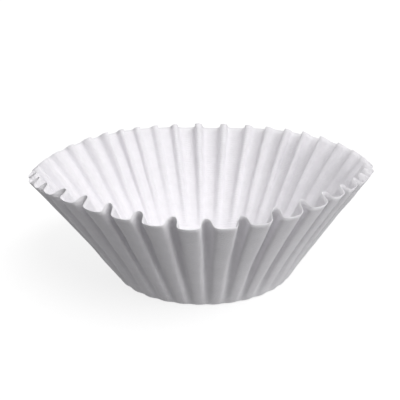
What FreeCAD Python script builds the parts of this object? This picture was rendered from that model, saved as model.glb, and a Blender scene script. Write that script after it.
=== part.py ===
# Paper basket coffee filter: one flat disc of crimped paper, pressed into a fluted bowl with a flat round base.
# Units are millimetres, +Z is up, and the origin is the centre of the base's underside.
# The disc neither stretches nor shrinks: every radial line keeps its length up the wall, and every ring of
# paper keeps its length around the wall, so the surplus of each ring becomes the depth of the flutes.

import FreeCAD
import Part
import math
import os

# Driving dimensions
base_diameter = 80.4
flat_diameter = 199.4
paper_thickness = 0.16
flute_count = 38
first_bearing = -95.5
corner_radius = 2.0
wall_angle_low = 60.0
wall_angle_rim = 56.2

# Shape of one flute, as shares of its own depth and width
crease_sharpness = 0.18
crease_point = 0.03
crease_pinch = 0.10
flank_steepness = 0.07

# Unevenness of the pressed paper: some flutes are wider, some are deeper, and some slump to one side
uneven_shares = (0.094, 0.10, 0.042)
uneven_waves = (2, 5, 8)
uneven_phases = (33.0, 175.0, -31.0)
swell_share = 0.18
swell_waves = 7
swell_phase = -105.0
slump_share = 0.035
slump_waves = 11
slump_phase = -10.0

# Flare that handling leaves in the wall: how often it repeats around, how much, and where it peaks
flare_waves = (1, 2, 3, 4)
flare_angles = (0.5, 1.0, 1.0, 2.1)
flare_bearings = (122.0, 29.0, 51.0, 0.0)

# Resolution of the facets: points across one flute, and the places of the rings up the wall
points_per_flute = 10
ring_shares = (0.0, 0.04, 0.18, 0.52, 1.0)
profile_steps = 240
path_steps = 64
tune_steps = 40
widest_swing = 2.0

base_radius = base_diameter / 2
slant_length = (flat_diameter - base_diameter) / 2
full_turn = 2 * math.pi


def bearing_at(flute):
    """Angle around the filter at a place counted in flutes, which need not be whole."""
    shift = 0.0
    for share, waves, phase in zip(uneven_shares, uneven_waves, uneven_phases):
        rate = full_turn * waves / flute_count
        shift += share / rate * math.sin(rate * flute + math.radians(phase))
    return math.radians(first_bearing) + full_turn / flute_count * (flute + shift)


def flute_width(flute):
    """Angle that one flute takes at that place: the rate at which the bearing grows."""
    growth = 1.0
    for share, waves, phase in zip(uneven_shares, uneven_waves, uneven_phases):
        growth += share * math.cos(full_turn * waves / flute_count * flute + math.radians(phase))
    return full_turn / flute_count * growth


def flute_depth(flute):
    """Depth of the flute at that place, as a share of the usual depth for its width."""
    return 1 + swell_share * math.sin(full_turn * swell_waves / flute_count * flute + math.radians(swell_phase))


def flare_at(bearing):
    """Angle by which the wall leans further out at that bearing."""
    flare = 0.0
    for waves, angle, peak in zip(flare_waves, flare_angles, flare_bearings):
        flare += angle * math.cos(waves * (bearing - math.radians(peak)))
    return flare


def flute_slump(flute):
    """Sideways shift of the flute's crest at that place, in flute widths."""
    return slump_share * math.sin(full_turn * slump_waves / flute_count * flute + math.radians(slump_phase))


def flute_wave(flute, slump=0.0):
    """Outward and sideways swing of the paper: a broad outer lobe, and a narrow crease on the inside."""
    turn = full_turn * flute
    outward = math.cos(turn) - crease_sharpness * math.cos(2 * turn) + crease_point * math.cos(3 * turn)
    sideways = crease_pinch * math.sin(turn) + flank_steepness * math.sin(2 * turn) + slump * outward
    return outward, sideways


def path_lengths(swing):
    """Length of the paper up to each step across one flute, in flute widths, as is the swing."""
    lengths = [0.0]
    before = None
    for i in range(path_steps + 1):
        outward, sideways = flute_wave(i / path_steps)
        here = (i / path_steps + sideways, swing * outward)
        if before:
            lengths.append(lengths[-1] + math.dist(before, here))
        before = here
    return lengths


def path_ratio(swing):
    """Length of the paper over one flute, divided by the flute's width."""
    return path_lengths(swing)[-1]


def swing_for(ratio):
    """Swing, in flute widths, that takes up that surplus of paper."""
    low, high = 0.0, widest_swing
    for _ in range(tune_steps):
        middle = (low + high) / 2
        if path_ratio(middle) < ratio:
            low = middle
        else:
            high = middle
    return high if low else 0.0


def wall_angle(slant, flare):
    """Angle of the wall above the ground: it turns up round the base's edge, then flares towards the rim."""
    rise = math.radians(wall_angle_low - flare)
    bend = corner_radius * rise
    if slant < bend:
        return slant / corner_radius
    share = (slant - bend) / (slant_length - bend)
    return rise - math.radians(wall_angle_low - wall_angle_rim) * share


def mean_profile(flare):
    """Mean radius of the wall at each step up the slant."""
    step = slant_length / profile_steps
    radii = [base_radius]
    for i in range(profile_steps):
        radii.append(radii[-1] + step * math.cos(wall_angle((i + 0.5) * step, flare)))
    return radii


even_profile = mean_profile(0.0)
swings = [swing_for((base_radius + slant_length * i / profile_steps) / r) for i, r in enumerate(even_profile)]


def even_places():
    """Places across one flute, as shares of it, that divide the paper at the rim into equal lengths."""
    lengths = path_lengths(swings[-1])
    places = []
    for i in range(points_per_flute):
        wanted = lengths[-1] * i / points_per_flute
        step = max(k for k in range(path_steps) if lengths[k] <= wanted)
        places.append((step + (wanted - lengths[step]) / (lengths[step + 1] - lengths[step])) / path_steps)
    return places


def generator(flute):
    """Points up the wall along one radial line of the flat disc, which keeps its length."""
    bearing = bearing_at(flute)
    width = flute_width(flute)
    outward, sideways = flute_wave(flute, flute_slump(flute))
    radii = mean_profile(flare_at(bearing))
    step = slant_length / profile_steps
    points = []
    height = 0.0
    for i, mean in enumerate(radii):
        swing = swings[i] * flute_depth(flute)
        radius = mean + swing * width * mean * outward
        turn = bearing + width * sideways * min(1.0, swing / swings[-1])
        if i:
            run = radius - points[-1][3]
            height += math.sqrt(max(step * step - run * run, 0.0))
        points.append((radius * math.cos(turn), radius * math.sin(turn), height, radius))
    return [FreeCAD.Vector(x, y, z) for x, y, z, _ in points]


def at_share(points, share):
    """Point at a share of the way up a generator."""
    place = share * profile_steps
    index = min(int(place), profile_steps - 1)
    return points[index] + (points[index + 1] - points[index]) * (place - index)


def slope_at(points, share):
    """Direction up the wall at a share of the way up a generator."""
    ahead = min(share + 1 / profile_steps, 1.0)
    behind = max(share - 1 / profile_steps, 0.0)
    return at_share(points, ahead) - at_share(points, behind)


def ring_pairs():
    """Rings of points on the paper's outside and on its inside, from the base up to the rim."""
    places = even_places()
    lines = [generator(flute + place) for flute in range(flute_count) for place in places]
    count = len(lines)
    pairs = []
    for share in ring_shares:
        outer, inner = [], []
        for i, line in enumerate(lines):
            here = at_share(line, share)
            around = at_share(lines[(i + 1) % count], share) - at_share(lines[i - 1], share)
            normal = slope_at(line, share).cross(around).normalize()
            if share == ring_shares[0]:
                normal = FreeCAD.Vector(0, 0, 1)
            outer.append(here)
            inner.append(here + normal * paper_thickness)
        pairs.append((outer, inner))
    return pairs


def strip(low, high):
    """Band of triangles between two rings of as many points."""
    faces = []
    for i in range(len(low)):
        a, b, c, d = low[i - 1], low[i], high[i], high[i - 1]
        faces += [Part.Face(Part.makePolygon(corners)) for corners in ((a, b, c, a), (a, c, d, a))]
    return faces


def disc(ring):
    """Flat round face inside a ring."""
    return Part.Face(Part.makePolygon(ring + ring[:1]))


def build_filter():
    pairs = ring_pairs()
    faces = []
    for side in (0, 1):
        rings = [pair[side] for pair in pairs]
        faces.append(disc(rings[0]))
        for low, high in zip(rings, rings[1:]):
            faces += strip(low, high)
    faces += strip(*pairs[-1])
    shell = Part.Shell(faces)
    shell.sewShape()
    solid = Part.Solid(shell)
    if solid.Volume < 0:
        solid.reverse()
    return solid


os.makedirs("parts", exist_ok=True)
paper_filter = build_filter()
paper_filter.exportStep("parts/paper_filter.step")
box = paper_filter.BoundBox
print("valid", paper_filter.isValid(), "volume mm3", round(paper_filter.Volume, 1))
print("size", round(box.XLength, 2), round(box.YLength, 2), round(box.ZLength, 2), "low", round(box.ZMin, 4))
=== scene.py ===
"""Paper basket coffee filter: one sheet of creped white paper in place of the solid, on a pale floor."""

import math

import bpy
import numpy as np
from mathutils import Matrix, Vector


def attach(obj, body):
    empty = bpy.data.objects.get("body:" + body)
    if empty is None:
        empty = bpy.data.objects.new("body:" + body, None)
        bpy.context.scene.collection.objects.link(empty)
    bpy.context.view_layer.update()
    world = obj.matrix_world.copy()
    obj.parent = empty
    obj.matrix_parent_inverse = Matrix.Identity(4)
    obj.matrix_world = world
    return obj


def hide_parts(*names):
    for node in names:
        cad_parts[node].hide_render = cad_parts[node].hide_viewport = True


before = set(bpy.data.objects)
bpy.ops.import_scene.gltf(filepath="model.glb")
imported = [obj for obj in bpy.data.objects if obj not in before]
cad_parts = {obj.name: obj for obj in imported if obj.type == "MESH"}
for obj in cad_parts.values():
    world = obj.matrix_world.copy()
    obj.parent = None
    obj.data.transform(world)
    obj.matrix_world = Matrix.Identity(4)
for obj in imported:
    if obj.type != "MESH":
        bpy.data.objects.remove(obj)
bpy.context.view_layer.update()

# The filter's sizes, as in the solid, in metres and degrees
BASE_DIAMETER = 0.0804
FLAT_DIAMETER = 0.1994
PAPER_THICKNESS = 0.00016
FLUTE_COUNT = 38
FIRST_BEARING = -95.5
CORNER_RADIUS = 0.002
WALL_ANGLE_LOW = 60.0
WALL_ANGLE_RIM = 56.2

# Shape of one flute, as in the solid
CREASE_SHARPNESS = 0.18
CREASE_POINT = 0.03
CREASE_PINCH = 0.10
FLANK_STEEPNESS = 0.07

# Unevenness of the pressed paper, as in the solid: how much, how many waves around the filter, and where.
# The flare's are degrees of lean and the bearing of its peak. The others are shares and phases in degrees.
UNEVEN = ((0.094, 2, 33.0), (0.10, 5, 175.0), (0.042, 8, -31.0))
SWELL = (0.18, 7, -105.0)
SLUMP = (0.035, 11, -10.0)
FLARE = ((0.5, 1, 122.0), (1.0, 2, 29.0), (1.0, 3, 51.0), (2.1, 4, 0.0))

# Fineness of the sheet: rows are closer together near the base, where the wall bends
POINTS_PER_FLUTE = 20
WALL_ROWS = 44
ROW_CROWDING = 1.7
BASE_RING_SHARES = (0.3, 0.6, 0.76, 0.86, 0.92, 0.965)
PROFILE_STEPS = 240
PATH_STEPS = 64
TUNE_STEPS = 40
WIDEST_SWING = 2.0

# Small unevenness that the solid leaves out: chance differences of flutes, wavering creases and dents
RANDOM_SEED = 7
CHANCE_DEPTH = 0.12
CHANCE_LEAN = 0.035
CREASE_WAVER = 0.030
WAVER_LENGTH = 0.012
DENT_DEPTH = 0.00022
DENT_LENGTHS = (0.011, 0.006, 0.0035)
DENT_FULL_FROM = 0.25

# Ridges on the base where the creases start. Narrowness and fade are powers, start is a share of the radius.
RIDGE_HEIGHT = 0.0008
RIDGE_WEAKEST = 0.25
RIDGE_NARROWNESS = 3
RIDGE_FADE = 6
RIDGE_START = 0.05

# Paper, as values of its nodes' sockets: a dull face, a cloudy tint, fine crepe lines and finer fibres
PAPER_FACE = {"IOR": 1.45, "Specular IOR Level": 0.25, "Sheen Weight": 0.08, "Sheen Roughness": 0.6}
PAPER_TINTS = ((0.30, (0.832, 0.819, 0.844, 1.0)), (0.72, (0.890, 0.876, 0.903, 1.0)))
PAPER_ROUGHNESS = {"To Min": 0.78, "To Max": 0.95}
CLOUDS = {"Scale": 220.0, "Detail": 6.0, "Roughness": 0.62}
CREPE = {"Scale": 48.0, "Distortion": 5.0, "Detail": 3.0, "Detail Scale": 2.2}
CREPE_BUMP = {"Strength": 0.5, "Distance": 0.00012}
FIBRES = {"Scale": 1600.0, "Detail": 4.0, "Roughness": 0.65}
FIBRE_BUMP = {"Strength": 0.7, "Distance": 0.00008}

WHITE = (1.0, 1.0, 1.0, 1.0)

# Floor, just under the filter: a matt pale card that glows, so that only a faint shadow shows on it
FLOOR_SIZE = 30.0
FLOOR_GAP = 0.0003
FLOOR_FACE = {"Roughness": 1.0, "Specular IOR Level": 0.0}
FLOOR_GLOW = {"Emission Color": WHITE, "Emission Strength": 0.75}
FLOOR_GRAIN = {"Scale": 8.0, "Detail": 2.0}
FLOOR_TINTS = ((0.0, (0.335, 0.335, 0.335, 1.0)), (1.0, (0.345, 0.345, 0.345, 1.0)))

# Surround: its light by height, from straight down (0) to straight up (1)
WORLD_LEVELS = (
    (0.40, (0.191, 0.191, 0.196, 1.0)),
    (0.55, (0.29, 0.29, 0.29, 1.0)),
    (0.90, (0.63, 0.63, 0.63, 1.0)),
)

# Soft suns: name, where it shines from, width in degrees and strength. Two come from below, as light from a
# bright table does. The floor casts no shadow, so it lets them through.
SUNS = (
    ("key", (0.48, -0.46, 0.80), 45.0, 1.68),
    ("side", (1.0, -0.45, -0.30), 40.0, 0.74),
    ("back", (-0.8, 1.0, -0.35), 50.0, 0.38),
)

# Camera, placed by the photograph
CAMERA_AIM = (-0.0016, 0.0, 0.0310)
CAMERA_DISTANCE = 0.2697
CAMERA_PITCH = 20.06
CAMERA_ROLL = -0.82
CAMERA_LENS = 52.9
CAMERA_NEAR = 0.01
SENSOR_WIDTH = 36.0

BASE_RADIUS = BASE_DIAMETER / 2
SLANT_LENGTH = (FLAT_DIAMETER - BASE_DIAMETER) / 2
FULL_TURN = 2 * math.pi


# The sheet's shape: the solid's own formula, on a finer grid. A flute is a place counted in flutes.
def bearing_at(flute):
    """Angle around the filter."""
    shift = 0.0
    for share, waves, phase in UNEVEN:
        rate = FULL_TURN * waves / FLUTE_COUNT
        shift = shift + share / rate * np.sin(rate * flute + math.radians(phase))
    return math.radians(FIRST_BEARING) + FULL_TURN / FLUTE_COUNT * (flute + shift)


def flute_width(flute):
    """Angle that one flute takes at that place."""
    growth = 1.0
    for share, waves, phase in UNEVEN:
        growth = growth + share * np.cos(FULL_TURN * waves / FLUTE_COUNT * flute + math.radians(phase))
    return FULL_TURN / FLUTE_COUNT * growth


def repeated_wave(term, flute):
    """Value of a term of unevenness that repeats around the filter."""
    share, waves, phase = term
    return share * np.sin(FULL_TURN * waves / FLUTE_COUNT * flute + math.radians(phase))


def flute_wave(flute, slump=0.0):
    """Outward and sideways swing of the paper: a broad outer lobe, and a narrow crease on the inside."""
    turn = FULL_TURN * flute
    outward = np.cos(turn) - CREASE_SHARPNESS * np.cos(2 * turn) + CREASE_POINT * np.cos(3 * turn)
    sideways = CREASE_PINCH * np.sin(turn) + FLANK_STEEPNESS * np.sin(2 * turn) + slump * outward
    return outward, sideways


def path_lengths(swing):
    """Length of the paper up to each step across one flute, in flute widths, as is the swing."""
    flute = np.linspace(0.0, 1.0, PATH_STEPS + 1)
    outward, sideways = flute_wave(flute)
    pieces = np.hypot(np.diff(flute + sideways), np.diff(swing * outward))
    return np.concatenate([[0.0], np.cumsum(pieces)])


def swing_for(ratio):
    """Swing, in flute widths, that takes up that surplus of paper."""
    low, high = 0.0, WIDEST_SWING
    for _ in range(TUNE_STEPS):
        middle = (low + high) / 2
        if path_lengths(middle)[-1] < ratio:
            low = middle
        else:
            high = middle
    return high if low else 0.0


def even_places(swing):
    """Places across one flute, as shares of it, that divide the paper at the rim into equal lengths."""
    lengths = path_lengths(swing)
    wanted = lengths[-1] * np.arange(POINTS_PER_FLUTE) / POINTS_PER_FLUTE
    return np.interp(wanted, lengths, np.linspace(0.0, 1.0, PATH_STEPS + 1))


def mean_profile(flare):
    """Mean radius up the slant, one row for each flare angle given."""
    step = SLANT_LENGTH / PROFILE_STEPS
    slant = (np.arange(PROFILE_STEPS) + 0.5) * step
    rise = np.radians(WALL_ANGLE_LOW - np.atleast_1d(flare))[:, None]
    bend = CORNER_RADIUS * rise
    falling = np.radians(WALL_ANGLE_LOW - WALL_ANGLE_RIM) * (slant - bend) / (SLANT_LENGTH - bend)
    angle = np.where(slant < bend, slant / CORNER_RADIUS, rise - falling)
    reach = np.cumsum(step * np.cos(angle), axis=1)
    return BASE_RADIUS + np.hstack([np.zeros((len(reach), 1)), reach])


# Random fields
def smooth_step(blend):
    """Blend from 0 to 1 that starts and ends level."""
    return blend * blend * (3 - 2 * blend)


def smooth_noise(random, around, share, length):
    """Soft random field over the wall, from -1 to 1, with features of that length, wider towards the rim."""
    # The grid has one row below the wall and one past the rim
    cells = int(SLANT_LENGTH / length)
    columns = int(FULL_TURN * BASE_RADIUS / length)
    grid = random.uniform(-1, 1, (cells + 3, columns))
    u, v = around * columns, share * cells + 1
    i, j = np.floor(u).astype(int), np.floor(v).astype(int)
    fu, fv = smooth_step(u - i), smooth_step(v - j)
    after = (i + 1) % columns
    low = grid[j, i] * (1 - fu) + grid[j, after] * fu
    high = grid[j + 1, i] * (1 - fu) + grid[j + 1, after] * fu
    return low * (1 - fv) + high * fv


def chance_per_flute(random, flute):
    """Random value from -1 to 1 for each crease, passing smoothly into the next one's across the lobe."""
    values = random.uniform(-1, 1, FLUTE_COUNT)
    place = flute - 0.5
    before = np.floor(place).astype(int)
    blend = smooth_step(place - before)
    return values[before % FLUTE_COUNT] * (1 - blend) + values[(before + 1) % FLUTE_COUNT] * blend


# The sheet's points and mesh
def wall_lines(flute, swings, waver):
    """Points of the wall's outside, up one radial line of the disc for each place in flutes."""
    bearing, width = bearing_at(flute), flute_width(flute)
    outward, sideways = flute_wave(flute, repeated_wave(SLUMP, flute))
    random = np.random.default_rng(RANDOM_SEED + 2)
    swell = 1 + repeated_wave(SWELL, flute) + CHANCE_DEPTH * chance_per_flute(random, flute)
    sideways = sideways + CHANCE_LEAN * chance_per_flute(random, flute)
    flare = sum(angle * np.cos(waves * (bearing - math.radians(peak))) for angle, waves, peak in FLARE)
    mean = mean_profile(flare)
    swing = swings[None, :] * swell[:, None]
    radius = mean + swing * (width * outward)[:, None] * mean
    step = SLANT_LENGTH / PROFILE_STEPS
    rise = np.sqrt(np.maximum(step**2 - np.diff(radius, axis=1) ** 2, 0.0))
    height = np.hstack([np.zeros((len(flute), 1)), np.cumsum(rise, axis=1)])
    lean = sideways[:, None] * np.minimum(1.0, swing / swings[-1]) + waver
    turn = bearing[:, None] + width[:, None] * lean
    return np.stack([radius * np.cos(turn), radius * np.sin(turn), height], axis=-1)


def wall_points():
    """Wall's outside as columns by rows of points, with the rows' flat radius and the columns' flute."""
    slant = np.linspace(0.0, SLANT_LENGTH, PROFILE_STEPS + 1)
    swings = np.array([swing_for((BASE_RADIUS + s) / r) for s, r in zip(slant, mean_profile(0.0)[0])])
    flute = (np.arange(FLUTE_COUNT)[:, None] + even_places(swings[-1])).ravel()
    around, share = np.meshgrid(flute / FLUTE_COUNT, slant / SLANT_LENGTH, indexing="ij")
    random = np.random.default_rng(RANDOM_SEED)
    waver = CREASE_WAVER * smooth_noise(random, around, share, WAVER_LENGTH) * share
    points = wall_lines(flute, swings, waver)
    rows = np.rint(PROFILE_STEPS * np.linspace(0.0, 1.0, WALL_ROWS) ** ROW_CROWDING)
    rows = np.unique(rows.astype(int))
    points, around, share = points[:, rows], around[:, rows], share[:, rows]
    dent = sum(smooth_noise(random, around, share, length) / 2**i for i, length in enumerate(DENT_LENGTHS))
    depth = DENT_DEPTH * dent * np.minimum(1.0, share / DENT_FULL_FROM)
    points = points + sheet_normals(points) * depth[..., None]
    return points, BASE_RADIUS + share[0] * SLANT_LENGTH, flute


def sheet_normals(points):
    """Directions from the paper's outside to its inside."""
    around = np.roll(points, -1, axis=0) - np.roll(points, 1, axis=0)
    upward = np.gradient(points, axis=1)
    normal = np.cross(upward, around)
    return normal / np.linalg.norm(normal, axis=-1, keepdims=True)


def base_points(edge, flute):
    """Points of the base's underside within its edge, lifted into small ridges where the creases start."""
    shares = np.array(BASE_RING_SHARES)
    points = edge[:, None, :] * shares[None, :, None]
    random = np.random.default_rng(RANDOM_SEED + 1)
    strength = random.uniform(RIDGE_WEAKEST, 1.0, FLUTE_COUNT)[np.floor(flute).astype(int)]
    ridge = strength * (0.5 - 0.5 * np.cos(FULL_TURN * flute)) ** RIDGE_NARROWNESS
    fade = shares**RIDGE_FADE * np.minimum(1.0, (1 - shares) / RIDGE_START)
    points[..., 2] = RIDGE_HEIGHT * ridge[:, None] * fade
    return points, BASE_RADIUS * shares


def sheet_faces(columns, rows):
    """Faces of the closed sheet: outside, inside, the strip along the rim and two fans at the centre."""
    inner, centre = columns * rows, 2 * columns * rows
    last = rows - 1
    faces = []
    for i in range(columns):
        here, there = i * rows, (i + 1) % columns * rows
        faces.append((centre, there, here))
        faces.append((centre + 1, inner + here, inner + there))
        for j in range(last):
            faces.append((here + j, there + j, there + j + 1, here + j + 1))
            faces.append((inner + here + j, inner + here + j + 1, inner + there + j + 1, inner + there + j))
        faces.append((here + last, there + last, inner + there + last, inner + here + last))
    return faces


def map_flat(mesh, columns, flat_radius):
    """Map the mesh to its flat disc, with the columns spread evenly around it."""
    angle = np.arange(columns) / columns * FULL_TURN
    side = np.stack([np.outer(np.cos(angle), flat_radius), np.outer(np.sin(angle), flat_radius)], axis=-1)
    flat = np.concatenate([side.reshape(-1, 2)] * 2 + [np.zeros((2, 2))])
    layer = mesh.uv_layers.new(name="flat_sheet")
    corners = np.zeros(len(mesh.loops), dtype=np.int32)
    mesh.loops.foreach_get("vertex_index", corners)
    layer.data.foreach_set("uv", (flat[corners] / FLAT_DIAMETER + 0.5).ravel().astype(np.float32))


def make_sheet():
    wall, wall_flat, flute = wall_points()
    base, base_flat = base_points(wall[:, 0], flute)
    outside = np.concatenate([base, wall], axis=1)
    columns, rows = outside.shape[:2]
    normals = sheet_normals(outside)
    # Over the base, the inside lies straight above the outside
    normals[:, : base.shape[1] + 1] = (0.0, 0.0, 1.0)
    inside = outside + normals * PAPER_THICKNESS
    centre = [[0.0, 0.0, 0.0], [0.0, 0.0, PAPER_THICKNESS]]
    vertices = np.concatenate([outside.reshape(-1, 3), inside.reshape(-1, 3), centre])
    mesh = bpy.data.meshes.new("filter_sheet")
    mesh.from_pydata(vertices.tolist(), [], sheet_faces(columns, rows))
    map_flat(mesh, columns, np.concatenate([base_flat, wall_flat]))
    mesh.shade_smooth()
    mesh.validate()
    mesh.materials.append(paper_material())
    return add_object("filter_sheet", mesh)


def add_object(name, data):
    made = bpy.data.objects.new(name, data)
    bpy.context.scene.collection.objects.link(made)
    return made


# Materials
def add_node(tree, kind, values=None):
    """New node of that kind, with the values of the named sockets."""
    made = tree.nodes.new(kind)
    for name, value in (values or {}).items():
        made.inputs[name].default_value = value
    return made


def add_ramp(tree, stops):
    """Colour ramp through stops of position and colour, from the lowest position up."""
    made = tree.nodes.new("ShaderNodeValToRGB")
    elements = made.color_ramp.elements
    for i, (position, color) in enumerate(stops):
        element = elements[i] if i < 2 else elements.new(position)
        element.position = position
        element.color = color
    return made


def add_material(name, values):
    """New material whose shader has those values, with its node tree and its shader."""
    material = bpy.data.materials.new(name)
    material.use_nodes = True
    shader = material.node_tree.nodes["Principled BSDF"]
    for socket, value in values.items():
        shader.inputs[socket].default_value = value
    return material, material.node_tree, shader


def paper_material():
    material, tree, shader = add_material("filter_paper", PAPER_FACE)
    link = tree.links.new
    places = add_node(tree, "ShaderNodeTexCoord")

    clouds = add_node(tree, "ShaderNodeTexNoise", CLOUDS)
    tint = add_ramp(tree, PAPER_TINTS)
    dull = add_node(tree, "ShaderNodeMapRange", PAPER_ROUGHNESS)
    link(places.outputs["Object"], clouds.inputs["Vector"])
    link(clouds.outputs["Fac"], tint.inputs["Fac"])
    link(tint.outputs["Color"], shader.inputs["Base Color"])
    link(clouds.outputs["Fac"], dull.inputs["Value"])
    link(dull.outputs["Result"], shader.inputs["Roughness"])

    crepe = add_node(tree, "ShaderNodeTexWave", CREPE)
    fibres = add_node(tree, "ShaderNodeTexNoise", FIBRES)
    crepe_bump = add_node(tree, "ShaderNodeBump", CREPE_BUMP)
    fibre_bump = add_node(tree, "ShaderNodeBump", FIBRE_BUMP)
    link(places.outputs["UV"], crepe.inputs["Vector"])
    link(places.outputs["Object"], fibres.inputs["Vector"])
    link(crepe.outputs["Fac"], crepe_bump.inputs["Height"])
    link(fibres.outputs["Fac"], fibre_bump.inputs["Height"])
    link(crepe_bump.outputs["Normal"], fibre_bump.inputs["Normal"])
    link(fibre_bump.outputs["Normal"], shader.inputs["Normal"])
    return material


def floor_material():
    material, tree, shader = add_material("floor_card", FLOOR_FACE | FLOOR_GLOW)
    places = add_node(tree, "ShaderNodeTexCoord")
    grain = add_node(tree, "ShaderNodeTexNoise", FLOOR_GRAIN)
    tint = add_ramp(tree, FLOOR_TINTS)
    tree.links.new(places.outputs["Object"], grain.inputs["Vector"])
    tree.links.new(grain.outputs["Fac"], tint.inputs["Fac"])
    tree.links.new(tint.outputs["Color"], shader.inputs["Base Color"])
    return material


# Floor, light and camera
def make_floor():
    """Floor card that casts no shadow and gives the filter no diffuse light."""
    half = FLOOR_SIZE / 2
    mesh = bpy.data.meshes.new("floor")
    corners = [(x * half, y * half, -FLOOR_GAP) for x, y in ((-1, -1), (1, -1), (1, 1), (-1, 1))]
    mesh.from_pydata(corners, [], [(0, 1, 2, 3)])
    mesh.materials.append(floor_material())
    floor = add_object("floor", mesh)
    floor.visible_diffuse = False
    floor.visible_shadow = False


def make_world():
    """Studio surround, brightest overhead and greyest below, but plain white where the camera sees it."""
    world = bpy.data.worlds.new("studio")
    bpy.context.scene.world = world
    world.use_nodes = True
    tree = world.node_tree
    link = tree.links.new
    places = add_node(tree, "ShaderNodeTexCoord")
    split = add_node(tree, "ShaderNodeSeparateXYZ")
    spread = add_node(tree, "ShaderNodeMapRange", {"From Min": -1.0, "From Max": 1.0})
    levels = add_ramp(tree, WORLD_LEVELS)
    surround = tree.nodes["Background"]
    backdrop = add_node(tree, "ShaderNodeBackground", {"Color": WHITE})
    path = add_node(tree, "ShaderNodeLightPath")
    choose = add_node(tree, "ShaderNodeMixShader")
    link(places.outputs["Generated"], split.inputs["Vector"])
    link(split.outputs["Z"], spread.inputs["Value"])
    link(spread.outputs["Result"], levels.inputs["Fac"])
    link(levels.outputs["Color"], surround.inputs["Color"])
    link(path.outputs["Is Camera Ray"], choose.inputs["Fac"])
    link(surround.outputs["Background"], choose.inputs[1])
    link(backdrop.outputs["Background"], choose.inputs[2])
    link(choose.outputs["Shader"], tree.nodes["World Output"].inputs["Surface"])


def add_sun(name, comes_from, softness, strength):
    light = bpy.data.lights.new(name, "SUN")
    light.angle = math.radians(softness)
    light.energy = strength
    lamp = add_object(name, light)
    lamp.rotation_euler = (-Vector(comes_from)).to_track_quat("-Z", "Y").to_euler()


def make_camera():
    data = bpy.data.cameras.new("camera")
    data.sensor_width = SENSOR_WIDTH
    data.lens = CAMERA_LENS
    data.clip_start = CAMERA_NEAR
    pitch, roll = math.radians(CAMERA_PITCH), math.radians(CAMERA_ROLL)
    forward = Vector((0.0, math.cos(pitch), -math.sin(pitch)))
    level = Vector((1.0, 0.0, 0.0))
    upward = level.cross(forward)
    right = level * math.cos(roll) + upward * math.sin(roll)
    up = upward * math.cos(roll) - level * math.sin(roll)
    turn = Matrix((right, up, -forward)).transposed().to_4x4()
    camera = add_object("camera", data)
    camera.matrix_world = Matrix.Translation(Vector(CAMERA_AIM) - forward * CAMERA_DISTANCE) @ turn
    bpy.context.scene.camera = camera


sheet = make_sheet()
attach(sheet, "root")
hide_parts("paper_filter")

make_floor()
make_world()
for sun in SUNS:
    add_sun(*sun)
make_camera()
bpy.context.scene.view_settings.view_transform = "Standard"
